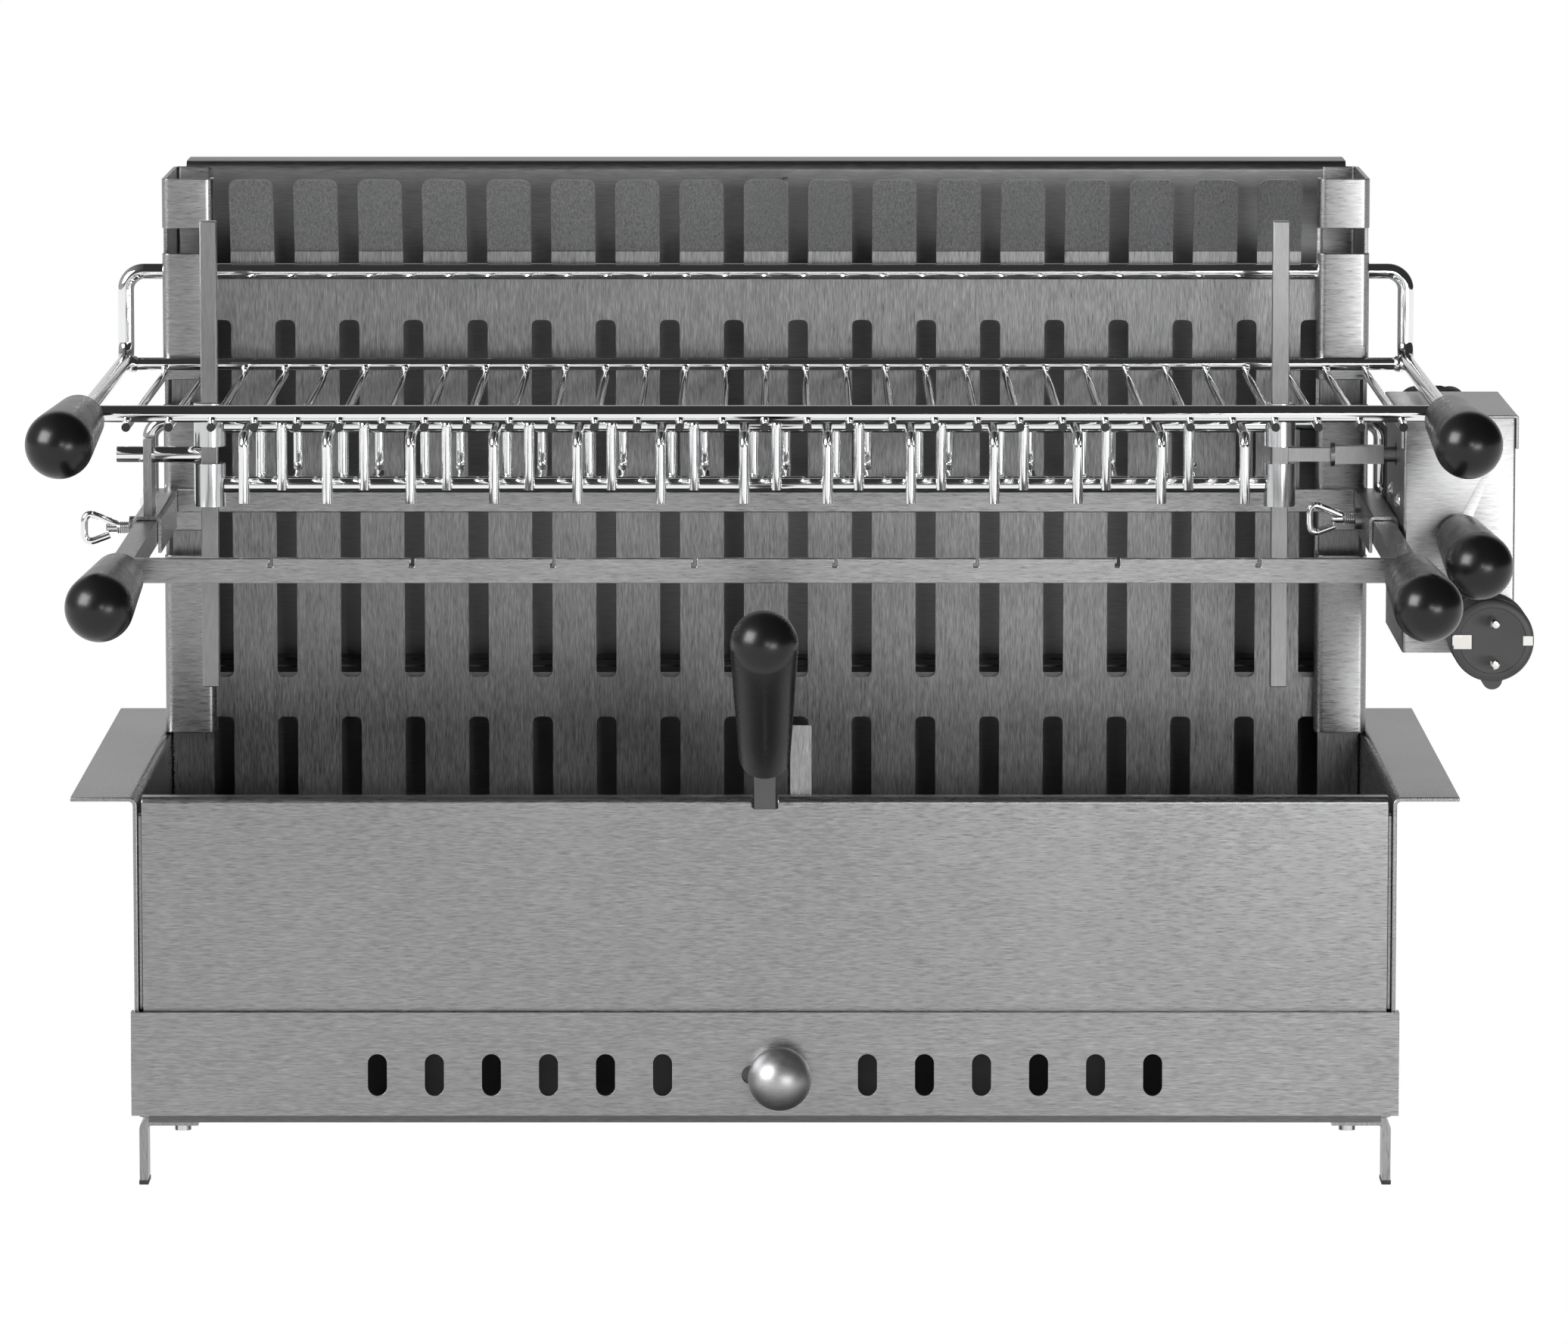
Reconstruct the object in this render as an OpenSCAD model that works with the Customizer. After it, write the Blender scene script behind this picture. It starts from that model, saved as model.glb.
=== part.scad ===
// Vertical-charcoal rotisserie barbecue in stainless sheet and rod.
// X runs to the right, Y to the back and Z up; the origin is under the middle of the whole object.

/* [Casing] */
// Width over the two side walls
case_w = 597; // [560:1:640]
// Depth from the front panel to the back wall
case_d = 326; // [310:1:360]
// Height of the shelf flanges above the ground
shelf_z = 185.7; // [160:0.1:210]
// How far each shelf flange stands out
shelf_out = 29.5; // [15:0.5:34]
// Thickness of the casing sheet
sheet = 2; // [1:0.1:2.5]
// Top of the posts and of the fire grate
post_z = 461.4; // [455:0.1:480]
// Height of the feet up to the floor pan
foot_z = 32.4; // [26:0.1:40]
// Width of each post's front face
post_w = 25.5; // [20:0.5:32]
// Distance of the posts' front faces ahead of the back wall
post_ahead = 95; // [76:1:101]
// Length of the top fold of the rear panel
rear_fold = 30; // [10:1:40]

/* [Fire grate] */
// Pitch of the grate's columns
grate_pitch = 31.8; // [28:0.1:33]
// Width of a slot in the grate
grate_slot = 10; // [6:0.5:14]
// Thickness of the grate
grate_t = 3; // [2:0.1:4]

/* [Drawer] */
// Height of the drawer front
drawer_h = 49.5; // [44:0.5:60]
// Pitch of the air slots
vent_pitch = 27; // [22:1:30]
// Width of an air slot
vent_w = 9; // [6:0.5:12]
// Height of an air slot
vent_h = 20; // [14:0.5:24]
// Diameter of the damper knob
knob_d = 30; // [20:1:34]

/* [Grips] */
// Largest diameter of a grip
grip_d = 31; // [24:0.5:32]
// Diameter of a grip's back end
grip_back_d = 24; // [18:0.5:28]
// Length of a grip
grip_len = 128.5; // [100:0.5:140]

/* [Grill] */
// Diameter of the hook rods
rod_d = 8; // [6:0.1:8.6]
// Height of the hook rod of the grill
grill_hook_z = 415; // [410:0.5:418]
// Height of the side rods of the grill
grill_z = 371; // [370:0.5:376]
// Distance of the grill's side rods outside the side walls
grill_out = 18.5; // [13.5:0.5:23.5]
// Pitch of the grill's wires
wire_pitch = 19.8; // [19.4:0.1:20]
// Diameter of the grill's wires
wire_d = 4; // [3:0.1:4.4]

/* [Rack] */
// Spacing of the hook notches
notch_pitch = 75; // [70:0.5:80]
// Width of a rack arm
arm_w = 10; // [8:0.5:11]
// Height of a rack arm
arm_h = 11.5; // [9:0.5:13]
// Distance of the rack arms' middles inside the side walls
arm_in = 2; // [0.5:0.5:4.5]

/* [Spit] */
// Height of the spit's axis
spit_z = 338; // [336:0.5:339]
// Distance of the spit's axis behind the front panel
spit_y = 103; // [95:1:106]
// Length of an upright bar of the spit
bar_len = 225; // [180:1:226]
// Side of the square bars
bar_d = 8; // [6:0.1:8.4]
// Distance of a comb's rod from the axis
comb_off = 14.5; // [14.3:0.1:15]
// Diameter of the prongs
prong_d = 5; // [4:0.1:5.6]
// Reach of the long prongs
prong_reach = 58; // [40:1:64]
// Length of the prongs' turned ends
prong_drop = 32; // [20:1:38]

/* [Motor] */
// Width of the motor housing
motor_w = 53; // [48:1:60]
// Depth of the motor housing
motor_d = 120; // [110:1:126]
// Height of the motor housing
motor_h = 112; // [106:1:113]
// Diameter of the mains lead
lead_d = 6.6; // [6:0.1:6.8]
// Diameter of the plug
plug_d = 39.5; // [36:0.5:41]

/* [Hidden] */
$fn = 48;

steel = "#b4b6b8";
dark_steel = "#8d8f91";
chrome = "#d9dcdf";
black = "#161616";
grey = "#3a3b3d";
gap = 0.3;              // clearance between pieces that move past each other
run = 0.05;             // radial clearance of a shaft in its bore
eps = 0.01;
case_x = case_w / 2;    // outer face of a side wall
in_x = case_x - sheet;  // inner face of a side wall
panel_x = in_x - 2;     // edge of the front panel
panel_fold = 10;        // depth of the front panel's top fold
fold_r = 3;
drawer_z = foot_z + 1.6;
band_t = 1.5;           // thickness of the drawer front
band_y = -4;            // outer face of the drawer front
band_top = drawer_z + drawer_h;
floor_z = foot_z + sheet;
pan_t = 1.5;
rear_y = case_d - 2 * sheet;        // front face of the rear panel
post_y = case_d - post_ahead;       // front face of the posts
arm_x = case_x - arm_in;
grill_x = case_x + grill_out;
rear_z = post_z + 2.6;  // top of the rear panel
grate_y = post_y + 14;  // front face of the fire grate
fire_z = 212;           // underside of the fire floor
grate_x = in_x - 1.5;
grate_n = floor(2 * grate_x / grate_pitch - 0.5);       // slots in the grate
hook_y = grate_y - rod_d / 2 - 1;
seat_d = rod_d + 0.4;
notch_h = 12.5;         // height of a notch's mouth
notch_up = 9.5;         // from a seated rod's middle up to the notch's mouth
rack_drop = 43.5;       // from the rack's hook rod down to the underside of its arms
rack_hook_z = grill_hook_z - notch_pitch;
arm_z = rack_hook_z - rack_drop;
arm_out = arm_x + arm_w / 2;
arm_y0 = -107;
arm_y1 = post_y;
bar_t = 4;              // thickness of the rack's flat bars
rack_bar_y = -77;
rack_grip_y = arm_y0 - grip_len;
wire_z = grill_z - rod_d / 2 - wire_d / 2 + 0.3;
wire_n = floor((grill_x - 12) / wire_pitch);     // wires on each side of the middle one
back_rod_d = 6.5;
back_rod_y = post_y - 4;
front_rod_y = -35;
grill_grip_y = -65;     // back end of the grill's grips
stem_in = 36;           // how far a rod goes into its grip
clamp_t = 1.6;
clamp_in = arm_w / 2 + gap;
clamp_out = clamp_in + clamp_t;
clamp_y = 83;
clamp_len = 110;
clamp_top = arm_z + arm_h + gap + clamp_t;
screw_d = 6;
boss_t = 3;
boss_d = 11;
left_screw_y = 106;
right_screw_y = 146;
screw_z = arm_z + arm_h / 2;
housing_x = arm_x + clamp_out;
housing_y = 45;
lid_z = spit_z + 23;
housing_z = lid_z - motor_h;
motor_grip_y = housing_y - 15;
motor_grip_z = housing_z + 56;
wall = 1.5;
lid_t = 1.4;
lid_side = 14.5;
lid_x1 = housing_x + motor_w + lid_t;
// The bars stand in gaps between the grill's wires, as far out as the rack's arms leave room
left_gap = floor((arm_x - arm_w / 2 - 20) / wire_pitch - 0.5) + 0.5;
right_gap = left_gap - 1;
left_bar_x = -left_gap * wire_pitch;
right_bar_x = right_gap * wire_pitch;
collar_d = wire_pitch - wire_d - 2 * gap;
collar_h = 20.7;
prong_n = (left_gap + right_gap) / 2;   // long prongs on the upper comb
finger_shift = prong_d - 0.5;
shaft_d = 7.7;
drive_d = 7.5;
drive_square = 8.5;
hub_x0 = housing_x + 6;
hub_x1 = hub_x0 + 18;
hub_d = 18;
left_shaft_end = -arm_x - 15.5;
knob_x = 7;
damper_travel = vent_pitch / 2;
stem_d = 8;
vent_first = 48.5;
vent_z = drawer_z + 19.6;
damper_t = 1.2;
damper_y = band_y + band_t + 0.2;
tray_x = in_x - 13.5;
tray_y0 = 15;
tray_y1 = post_y - 3;
tray_z0 = 128;
tray_z1 = 150;
tray_t = 1;
tray_stem_w = 10;
tray_tilt = 34.5;
tray_grip_back = [-81, 216];
wind_r = 21;            // bend at the ends of the wound lead, to its middle
wind_x = housing_x + motor_w / 2 - 1;
wind_z0 = housing_z + 24.5;
wind_z1 = lid_z - 23.5;
wind_n = 5;
wind_step = lead_d + 0.1;
housing_back = housing_y + motor_d;
wind_y0 = housing_back + 11.5;
wind_y1 = wind_y0 + wind_n * wind_step;
motor_back = 6;         // how far the motor can slide back
peg_d = 7;
peg_x = 8.5;            // pegs that the wound lead hangs on, on each side of its middle
peg_z = wind_z1 + 10.7;
gland_z = wind_z0 - 9;
gland_len = 20;
plug_x = wind_x + 14;
plug_z = housing_z + 11;
plug_y0 = 2;
plug_y1 = 38;
exit_z = housing_z - 7.5;           // height of the lead under the housing
// Route of the lead from the winding under the housing to the plug, counted from the winding and the housing
run_points = [[21, 180, 24], [21, 179.6, 19], [21, 177, 8.5], [21, 171, 0], [21, 162, -5.7], [21, 153, -7.5],
    [21, 140, -7.5], [20, 125, -7.5], [18, 108, -7.5], [16, 92, -7.5], [14.4, 78, -7.5], [14, 66, -7.5]];
// The stretch from the gland to the winding, counted in the same way
lead_in = [[0, 185, 15.5], [0, 190, 16], [0, 196, 18], [0, 202, 22], [0, 207, 27.5], [0, 210.5, 34.5],
    [0, 212, 42], [-1.5, 211.8, 50], [-5.5, 211, 58], [-10.5, 209.5, 66.5], [-15.5, 208, 74],
    [-19.5, 207, 82], [-21, 206.7, 89]];
x_min = -(grill_x + grip_d / 2);
x_max = lid_x1;
y_min = rack_grip_y;
y_max = rear_y + sheet + rear_fold;

// Puts the origin on the ground under the middle of the object.
module place() translate([-(x_min + x_max) / 2, -(y_min + y_max) / 2, 0]) children();

// A box from its low corner to its high corner.
module block(low, high) translate(low) cube(high - low);

module rod_x(x0, x1, y, z, d) translate([x0, y, z]) rotate([0, 90, 0]) cylinder(h = x1 - x0, d = d);
module rod_y(x, y0, y1, z, d) translate([x, y0, z]) rotate([-90, 0, 0]) cylinder(h = y1 - y0, d = d);
module rod_z(x, y, z0, z1, d) translate([x, y, z0]) cylinder(h = z1 - z0, d = d);

// A quarter bend in the XY plane, from +X to +Y.
module bend(r, d) rotate_extrude(angle = 90) translate([r, 0]) circle(d = d);

// A straight round bar between any two points.
module strut(p, q, d) {
    v = q - p;
    flat = norm([v[0], v[1]]);
    translate(p) rotate([0, atan2(flat, v[2]), atan2(v[1], v[0])]) cylinder(h = norm(v), d = d);
}

module both_sides() {
    children();
    mirror([1, 0, 0]) children();
}

// A rod across the posts, bent down at both ends and then forward.
module hook_rod(side_x, top_z, low_z, front_y, d, r) {
    rod_x(-(side_x - r), side_x - r, hook_y, top_z, d);
    both_sides() {
        translate([side_x - r, hook_y, top_z - r]) rotate([90, 0, 0]) bend(r, d);
        rod_z(side_x, hook_y, low_z + r, top_z - r, d);
        translate([side_x, hook_y - r, low_z + r]) rotate([0, 90, 0]) bend(r, d);
        rod_y(side_x, front_y, hook_y - r, low_z, d);
    }
}

// A domed, tapered grip that points forward, with its back end at the origin.
module grip(bore_d) {
    r = grip_d / 2;
    r_back = grip_back_d / 2;
    round_y = 1.5;
    rotate([90, 0, 0]) difference() {
        union() {
            rotate_extrude() difference() {
                union() {
                    polygon([[0, round_y], [r_back, round_y], [r, grip_len - r], [0, grip_len - r]]);
                    translate([0, grip_len - r]) circle(r);
                    square([r_back - round_y, round_y + eps]);
                    translate([r_back - round_y, round_y]) circle(round_y);
                }
                translate([-2 * r, -eps]) square([2 * r, grip_len + 2 * r]);
            }
        }
        translate([0, 0, -eps]) cylinder(h = stem_in + 1, d = bore_d);
    }
}

// Points along an arc about a middle, from one angle to another.
function arc(x, y, r, from, to, n = 6) =
    [for (i = [0 : n]) [x + r * cos(from + (to - from) * i / n), y + r * sin(from + (to - from) * i / n)]];

// The outline of a plate's opening with round corners, counted from its low corner.
function rounded(w, h, r, n = 4) = [
    for (c = [[w - r, h - r, 0], [r, h - r, 90], [r, r, 180], [w - r, r, 270]])
        for (i = [0 : n]) [c[0] + r * cos(c[2] + 90 * i / n), c[1] + r * sin(c[2] + 90 * i / n)]];

// An upright slot with round ends through a plate that lies along X.
module vent(x, z, w, h, y0, y1) {
    block([x - w / 2, y0, z - h / 2 + w / 2], [x + w / 2, y1, z + h / 2 - w / 2]);
    for (s = [-1, 1]) rod_y(x, y0, y1, z + s * (h / 2 - w / 2), w);
}

module side_wall() {
    r = 4;
    foot_in = 28;
    bend_x = case_x + r - sheet;
    color(steel) translate([0, case_d, 0]) rotate([90, 0, 0]) linear_extrude(case_d) polygon(concat(
        [[case_x - foot_in, foot_z]],
        arc(case_x - r, foot_z + r, r, -90, 0),
        arc(bend_x, shelf_z - r, r - sheet, 180, 90),
        [[case_x + shelf_out, shelf_z - sheet], [case_x + shelf_out, shelf_z]],
        arc(bend_x, shelf_z - r, r, 90, 180),
        arc(case_x - r, foot_z + r, r - sheet, 0, -90),
        [[case_x - foot_in, floor_z]]));
}
module left_side_wall() mirror([1, 0, 0]) side_wall();
module right_side_wall() side_wall();

module front_panel() {
    fold = panel_fold;
    r = fold_r;
    color(steel) difference() {
        union() {
            block([-panel_x, 0, band_top - 6], [panel_x, sheet, shelf_z - r]);
            block([-panel_x, r, shelf_z - sheet], [panel_x, fold, shelf_z]);
            translate([-panel_x, r, shelf_z - r]) rotate([90, 0, 90])
                linear_extrude(2 * panel_x) intersection() {
                    difference() { circle(r); circle(r - sheet); }
                    translate([-r, 0]) square(r);
                }
            // side returns, spot-welded to the side walls
            both_sides() block([panel_x - sheet, 0, band_top - 6], [panel_x, 12, shelf_z - r - 2]);
            both_sides() block([panel_x - eps, 4, band_top], [in_x, 12, shelf_z - r - 6]);
        }
        // notch for the stem of the drip tray's handle
        block([-tray_stem_w / 2 - 1, -1, shelf_z - 5], [tray_stem_w / 2 + 1, fold + 1, shelf_z + 1]);
    }
}

module floor_pan() {
    color(dark_steel) {
        block([-in_x + 4.5, 0, floor_z], [in_x - 4.5, case_d - sheet, floor_z + pan_t]);
        block([-in_x + 4.5, -pan_t, foot_z - 2], [in_x - 4.5, eps, floor_z + pan_t]);
    }
}

module back_wall() color(dark_steel) difference() {
    block([-in_x, case_d - sheet, floor_z], [in_x, case_d, 160]);
    // air holes low in the wall
    for (k = [-4 : 4]) vent(k * 55, 100, 12, 30, case_d - 2 * sheet, case_d + sheet);
}

module feet() {
    leg_t = 4;
    leg_d = 15;
    r = 6;
    x1 = case_x - 1.7;
    color(steel) both_sides() for (y = [1, case_d - 1 - leg_d]) {
        block([x1 - leg_t, y, 0], [x1, y + leg_d, foot_z - r]);
        block([x1 - 28, y, foot_z - leg_t], [x1 - r, y + leg_d, foot_z]);
        translate([x1 - r, y + leg_d, foot_z - r]) rotate([90, 0, 0])
            linear_extrude(leg_d) intersection() {
                difference() { circle(r); circle(r - leg_t); }
                square(r);
            }
    }
}

module foot_bolts() color(chrome) both_sides() for (y = [8.5, case_d - 8.5])
    rod_z(case_x - 22, y, foot_z - 7, foot_z - 4, 8);

// A folded channel with three notches for the hook rods, seen from above.
module post() {
    ret = 14;
    flange = 18;
    r = 4;
    x0 = case_x - post_w;
    color(steel) difference() {
        union() {
            translate([0, 0, shelf_z]) linear_extrude(post_z - shelf_z) polygon(concat(
                [[x0, post_y + ret]],
                arc(x0 + r, post_y + r, r, 180, 270),
                arc(case_x - r, post_y + r, r, 270, 360),
                arc(case_x - r, rear_y - r, r, 0, 90),
                [[case_x - flange, rear_y], [case_x - flange, rear_y - sheet]],
                arc(case_x - r, rear_y - r, r - sheet, 90, 0),
                arc(case_x - r, post_y + r, r - sheet, 360, 270),
                arc(x0 + r, post_y + r, r - sheet, 270, 180),
                [[x0 + sheet, post_y + ret]]));
            // the tab that is welded inside the side wall
            block([in_x - sheet, post_y + 20, shelf_z - 45], [in_x, rear_y - 10, shelf_z + 20]);
        }
        for (k = [0 : 2]) {
            seat_z = grill_hook_z - k * notch_pitch;
            block([x0 - 1, post_y - 1, seat_z + notch_up],
                [case_x + 1, hook_y + seat_d / 2, seat_z + notch_up + notch_h]);
            block([x0 - 1, hook_y - seat_d / 2, seat_z],
                [case_x + 1, hook_y + seat_d / 2, seat_z + notch_up + 1]);
            rod_x(x0 - 1, case_x + 1, hook_y, seat_z, seat_d);
        }
    }
}
module left_post() mirror([1, 0, 0]) post();
module right_post() post();

module rear_panel() {
    r = 5;
    edge = case_x - 6.5;
    color(steel) {
        block([-edge, rear_y, 149], [edge, rear_y + sheet, rear_z - r]);
        translate([-edge, rear_y + r, rear_z - r]) rotate([90, 0, 90])
            linear_extrude(2 * edge) intersection() {
                difference() { circle(r); circle(r - sheet); }
                translate([-r, 0]) square(r);
            }
        block([-edge, rear_y + r, rear_z - sheet], [edge, rear_y + sheet + rear_fold, rear_z]);
    }
}

// A slotted sheet whose upper fingers lean forward.
module fire_grate() {
    finger_z = 425;
    top_z = post_z - 0.5;
    top_r = 4;
    lean = 21;
    half = (grate_pitch - grate_slot) / 2;
    rise = top_z - finger_z + 5;
    front_z = finger_z - grate_t * tan(lean / 2);
    last = grate_n - 1;
    color(dark_steel) intersection() {
        translate([0, grate_y + 2 * grate_t, 0]) rotate([90, 0, 0]) linear_extrude(40) {
            difference() {
                translate([-grate_x, 110]) square([2 * grate_x, finger_z - 110]);
                for (k = [0 : grate_n - 1]) translate([(k - last / 2) * grate_pitch - grate_slot / 2, 0]) {
                    translate([0, fire_z]) polygon(rounded(grate_slot, 178.5, 3));
                    translate([0, 130]) polygon(rounded(grate_slot, 62, 3));
                    translate([0, 411]) polygon(rounded(grate_slot, 30, 3));
                }
                for (s = [-1, 1]) translate([s * (last / 2 * grate_pitch + 15) - 15, 414]) square([30, 30]);
            }
            for (k = [1 : last]) translate([(k - grate_n / 2) * grate_pitch, 0]) polygon(concat(
                [[-half, finger_z - 4], [half, finger_z - 4]],
                arc(half - top_r, top_z - top_r, top_r, 0, 90, 4),
                arc(top_r - half, top_z - top_r, top_r, 90, 180, 4)));
        }
        translate([-grate_x - 1, 0, 0]) rotate([90, 0, 90]) linear_extrude(2 * grate_x + 2) polygon([
            [grate_y, 100], [grate_y + grate_t, 100], [grate_y + grate_t, finger_z],
            [grate_y + grate_t - rise * tan(lean), finger_z + rise],
            [grate_y - (finger_z + rise - front_z) * tan(lean), finger_z + rise], [grate_y, front_z]]);
    }
}

module fire_floor() color(dark_steel) difference() {
    block([-in_x + 3, grate_y + grate_t, fire_z], [in_x - 3, rear_y - sheet, fire_z + sheet]);
    for (y = [grate_y + 28, grate_y + 56], k = [-2.5 : 2.5])
        block([k * 94 - 43, y - 4, fire_z - 1], [k * 94 + 43, y + 4, fire_z + 3]);
}

module divider_plate() color(dark_steel) {
    x = 9;
    block([x, grate_y + grate_t, fire_z + sheet], [x + sheet, rear_y, rear_z - 8]);
    block([x - 19, grate_y + grate_t, fire_z + sheet], [x + eps, grate_y + grate_t + sheet, rear_z - 8]);
}

module front_tab() color(chrome) {
    t = 1.5;
    y0 = fold_r;
    block([12, sheet, shelf_z - 16], [22, sheet + t, shelf_z - fold_r]);
    block([12, y0, shelf_z - fold_r - 0.5], [22, panel_fold + t, shelf_z - sheet]);
    block([12, panel_fold, shelf_z - sheet - eps], [22, panel_fold + t, shelf_z + 33]);
}

module tray_rails() color(dark_steel) both_sides() {
    block([in_x - 1.5, 20, tray_z0 - 14], [in_x, tray_y1 - 3, tray_z0]);
    block([in_x - 20, 20, tray_z0 - 1.5], [in_x, tray_y1 - 3, tray_z0]);
}

module panel_rivets() color(chrome) both_sides() for (z = [230, 300, 370, 440])
    rod_y(case_x - 12, rear_y + sheet, rear_y + sheet + 1.5, z, 6);

module rack_hook_rod() color(chrome)
    hook_rod(arm_out + rod_d / 2, rack_hook_z, screw_z, wind_y1 + motor_back + 2, rod_d, rod_d);

module rack_arms() color(steel) both_sides() {
    block([arm_x - arm_w / 2, arm_y0, arm_z], [arm_out, arm_y1, arm_z + arm_h]);
    rod_y(arm_x, arm_y0 - stem_in, arm_y0 + eps, screw_z, rod_d);
}

module rack_front_bar() {
    pitch = 65.2;
    x1 = arm_x - arm_w / 2;
    color(steel) difference() {
        block([-x1, rack_bar_y, arm_z], [x1, rack_bar_y + bar_t, arm_z + arm_h]);
        for (k = [-3.5 : 3.5]) translate([k * pitch, rack_bar_y - 1, arm_z + arm_h]) {
            block([-0.2, 0, -4], [1.2, bar_t + 2, 1]);
            block([-1.2, 0, -4], [1.2, bar_t + 2, -2.4]);
        }
    }
}

module rack_rear_bar() color(steel)
    block([-(arm_x - arm_w / 2), arm_y1 - bar_t, arm_z], [arm_x - arm_w / 2, arm_y1, arm_z + arm_h]);

module rack_grips() color(black) both_sides() translate([arm_x, arm_y0, screw_z]) grip(rod_d);

module drawer_tray() {
    x = in_x - 6;
    z0 = floor_z + pan_t + gap;
    z1 = band_top - 7;
    t = 1.2;
    y0 = damper_y + damper_t + 0.6;
    y1 = case_d - 25;
    color(dark_steel) difference() {
        block([-x, y0, z0], [x, y1, z1]);
        block([-x + t, y0 + t, z0 + t], [x - t, y1 - t, z1 + 1]);
        // windows behind the air slots
        both_sides() block([vent_first - vent_pitch, y0 - 1, vent_z - vent_h / 2 - 1],
            [vent_first + 6 * vent_pitch, y0 + t + 1, vent_z + vent_h / 2 + 1]);
        block([knob_x - damper_travel - 8, y0 - 1, vent_z - 8], [knob_x + 8, y0 + t + 1, vent_z + 8]);
    }
    // brackets that carry the drawer front
    color(dark_steel) both_sides() block([x - 24, band_y + band_t, z0 + 4], [x, y0 + eps, z0 + 24]);
}

module drawer_front() {
    x = case_x + 1.6;
    t = 1.2;
    color(steel) difference() {
        union() {
            block([-x, band_y, drawer_z], [x, band_y + band_t, band_top]);
            both_sides() block([x - t, band_y, drawer_z], [x, band_y + 8, band_top]);
        }
        both_sides() for (k = [0 : 5])
            vent(vent_first + k * vent_pitch, vent_z, vent_w, vent_h, band_y - 1, band_y + band_t + 1);
        knob_slot(band_y - 1, band_y + band_t + 1);
    }
}

// The sideways slot that the knob's stem slides in.
module knob_slot(y0, y1) {
    w = stem_d + 1;
    block([knob_x - damper_travel, y0, vent_z - w / 2], [knob_x, y1, vent_z + w / 2]);
    for (x = [knob_x - damper_travel, knob_x]) rod_y(x, y0, y1, vent_z, w);
}

module damper_plate() color(dark_steel) difference() {
    x = vent_first + 5 * vent_pitch + vent_w / 2 + 3;
    block([-x, damper_y, vent_z - vent_h / 2 - 3], [x, damper_y + damper_t, vent_z + vent_h / 2 + 3]);
    both_sides() for (k = [0 : 5])
        vent(vent_first + k * vent_pitch, vent_z, vent_w, vent_h, damper_y - 1, damper_y + damper_t + 1);
}

// A ball, cut flat in front of the drawer front, on a stem.
module damper_knob() color(chrome) {
    cy = band_y - 26 + knob_d / 2;
    translate([knob_x, cy, vent_z]) rotate([90, 0, 0]) rotate_extrude() difference() {
        circle(d = knob_d);
        translate([-2 * knob_d, -knob_d]) square([2 * knob_d, 2 * knob_d]);
        translate([-knob_d, -2 * knob_d + cy - band_y + 0.5]) square(2 * knob_d);
    }
    rod_y(knob_x, cy, damper_y, vent_z, stem_d);
}

module drip_tray() color(steel) difference() {
    block([-tray_x, tray_y0, tray_z0 + gap], [tray_x, tray_y1, tray_z1]);
    block([-tray_x + tray_t, tray_y0 + tray_t, tray_z0 + gap + tray_t],
        [tray_x - tray_t, tray_y1 - tray_t, tray_z1 + 1]);
}

// A flat stem from the tray's front wall, over the front panel and up to the grip.
module tray_handle_stem() {
    t = 3;
    w = tray_stem_w;
    z = shelf_z - 2;
    front = [-3, z];
    back = tray_grip_back;
    rise = atan2(back[1] - front[1], front[0] - back[0]);
    color(dark_steel) {
        block([-w / 2, tray_y0 - t, tray_z0 + 8], [w / 2, tray_y0, z]);
        block([-w / 2, front[0], z - t], [w / 2, tray_y0, z]);
        translate([-w / 2, front[0], z - t]) rotate([-rise, 0, 0])
            translate([0, -norm(back - front) - 1, 0]) cube([w, norm(back - front) + 2, t]);
        translate([0, back[0], back[1]]) rotate([-tray_tilt, 0, 0]) rod_y(0, -stem_in, 2, 0, rod_d);
    }
}

module tray_grip() color(black)
    translate([0, tray_grip_back[0], tray_grip_back[1]]) rotate([-tray_tilt, 0, 0]) grip(rod_d);

module grill_frame() color(chrome)
    hook_rod(grill_x, grill_hook_z, grill_z, grill_grip_y - stem_in, rod_d, 9);

module grill_front_rod() color(chrome)
    rod_x(-(grill_x - rod_d / 2 + 0.3), grill_x - rod_d / 2 + 0.3, front_rod_y, grill_z, rod_d);

module grill_back_rod() color(chrome)
    rod_x(-(grill_x - rod_d / 2 + 0.3), grill_x - rod_d / 2 + 0.3, back_rod_y,
        wire_z + wire_d / 2 + back_rod_d / 2 - 0.3, back_rod_d);

module grill_wires() color(chrome) for (k = [-wire_n : wire_n])
    rod_y(k * wire_pitch, front_rod_y - 7, back_rod_y, wire_z, wire_d);

module grill_grips() color(black) both_sides() translate([grill_x, grill_grip_y, grill_z]) grip(rod_d);

// An upside-down U over a rack arm, with a threaded boss on one side.
module clamp(screw_y, side) {
    z0 = arm_z - 4;
    r = clamp_t + 0.9;
    color(steel) difference() {
        union() {
            translate([arm_x, clamp_y + clamp_len, 0]) rotate([90, 0, 0])
                linear_extrude(clamp_len) polygon(concat(
                [[clamp_out, z0]],
                arc(clamp_out - r, clamp_top - r, r, 0, 90),
                arc(r - clamp_out, clamp_top - r, r, 90, 180),
                [[-clamp_out, z0], [-clamp_in, z0]],
                arc(r - clamp_out, clamp_top - r, r - clamp_t, 180, 90),
                arc(clamp_out - r, clamp_top - r, r - clamp_t, 90, 0),
                [[clamp_in, z0]]));
            rod_x(side > 0 ? arm_x + clamp_out - eps : arm_x - clamp_out - boss_t,
                side > 0 ? arm_x + clamp_out + boss_t : arm_x - clamp_out + eps, screw_y, screw_z, boss_d);
        }
        rod_x(side > 0 ? arm_x : arm_x - clamp_out - boss_t - 1,
            side > 0 ? arm_x + clamp_out + boss_t + 1 : arm_x, screw_y, screw_z, screw_d);
    }
}
module left_clamp() mirror([1, 0, 0]) clamp(left_screw_y, 1);
module right_clamp() clamp(right_screw_y, -1);

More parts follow.
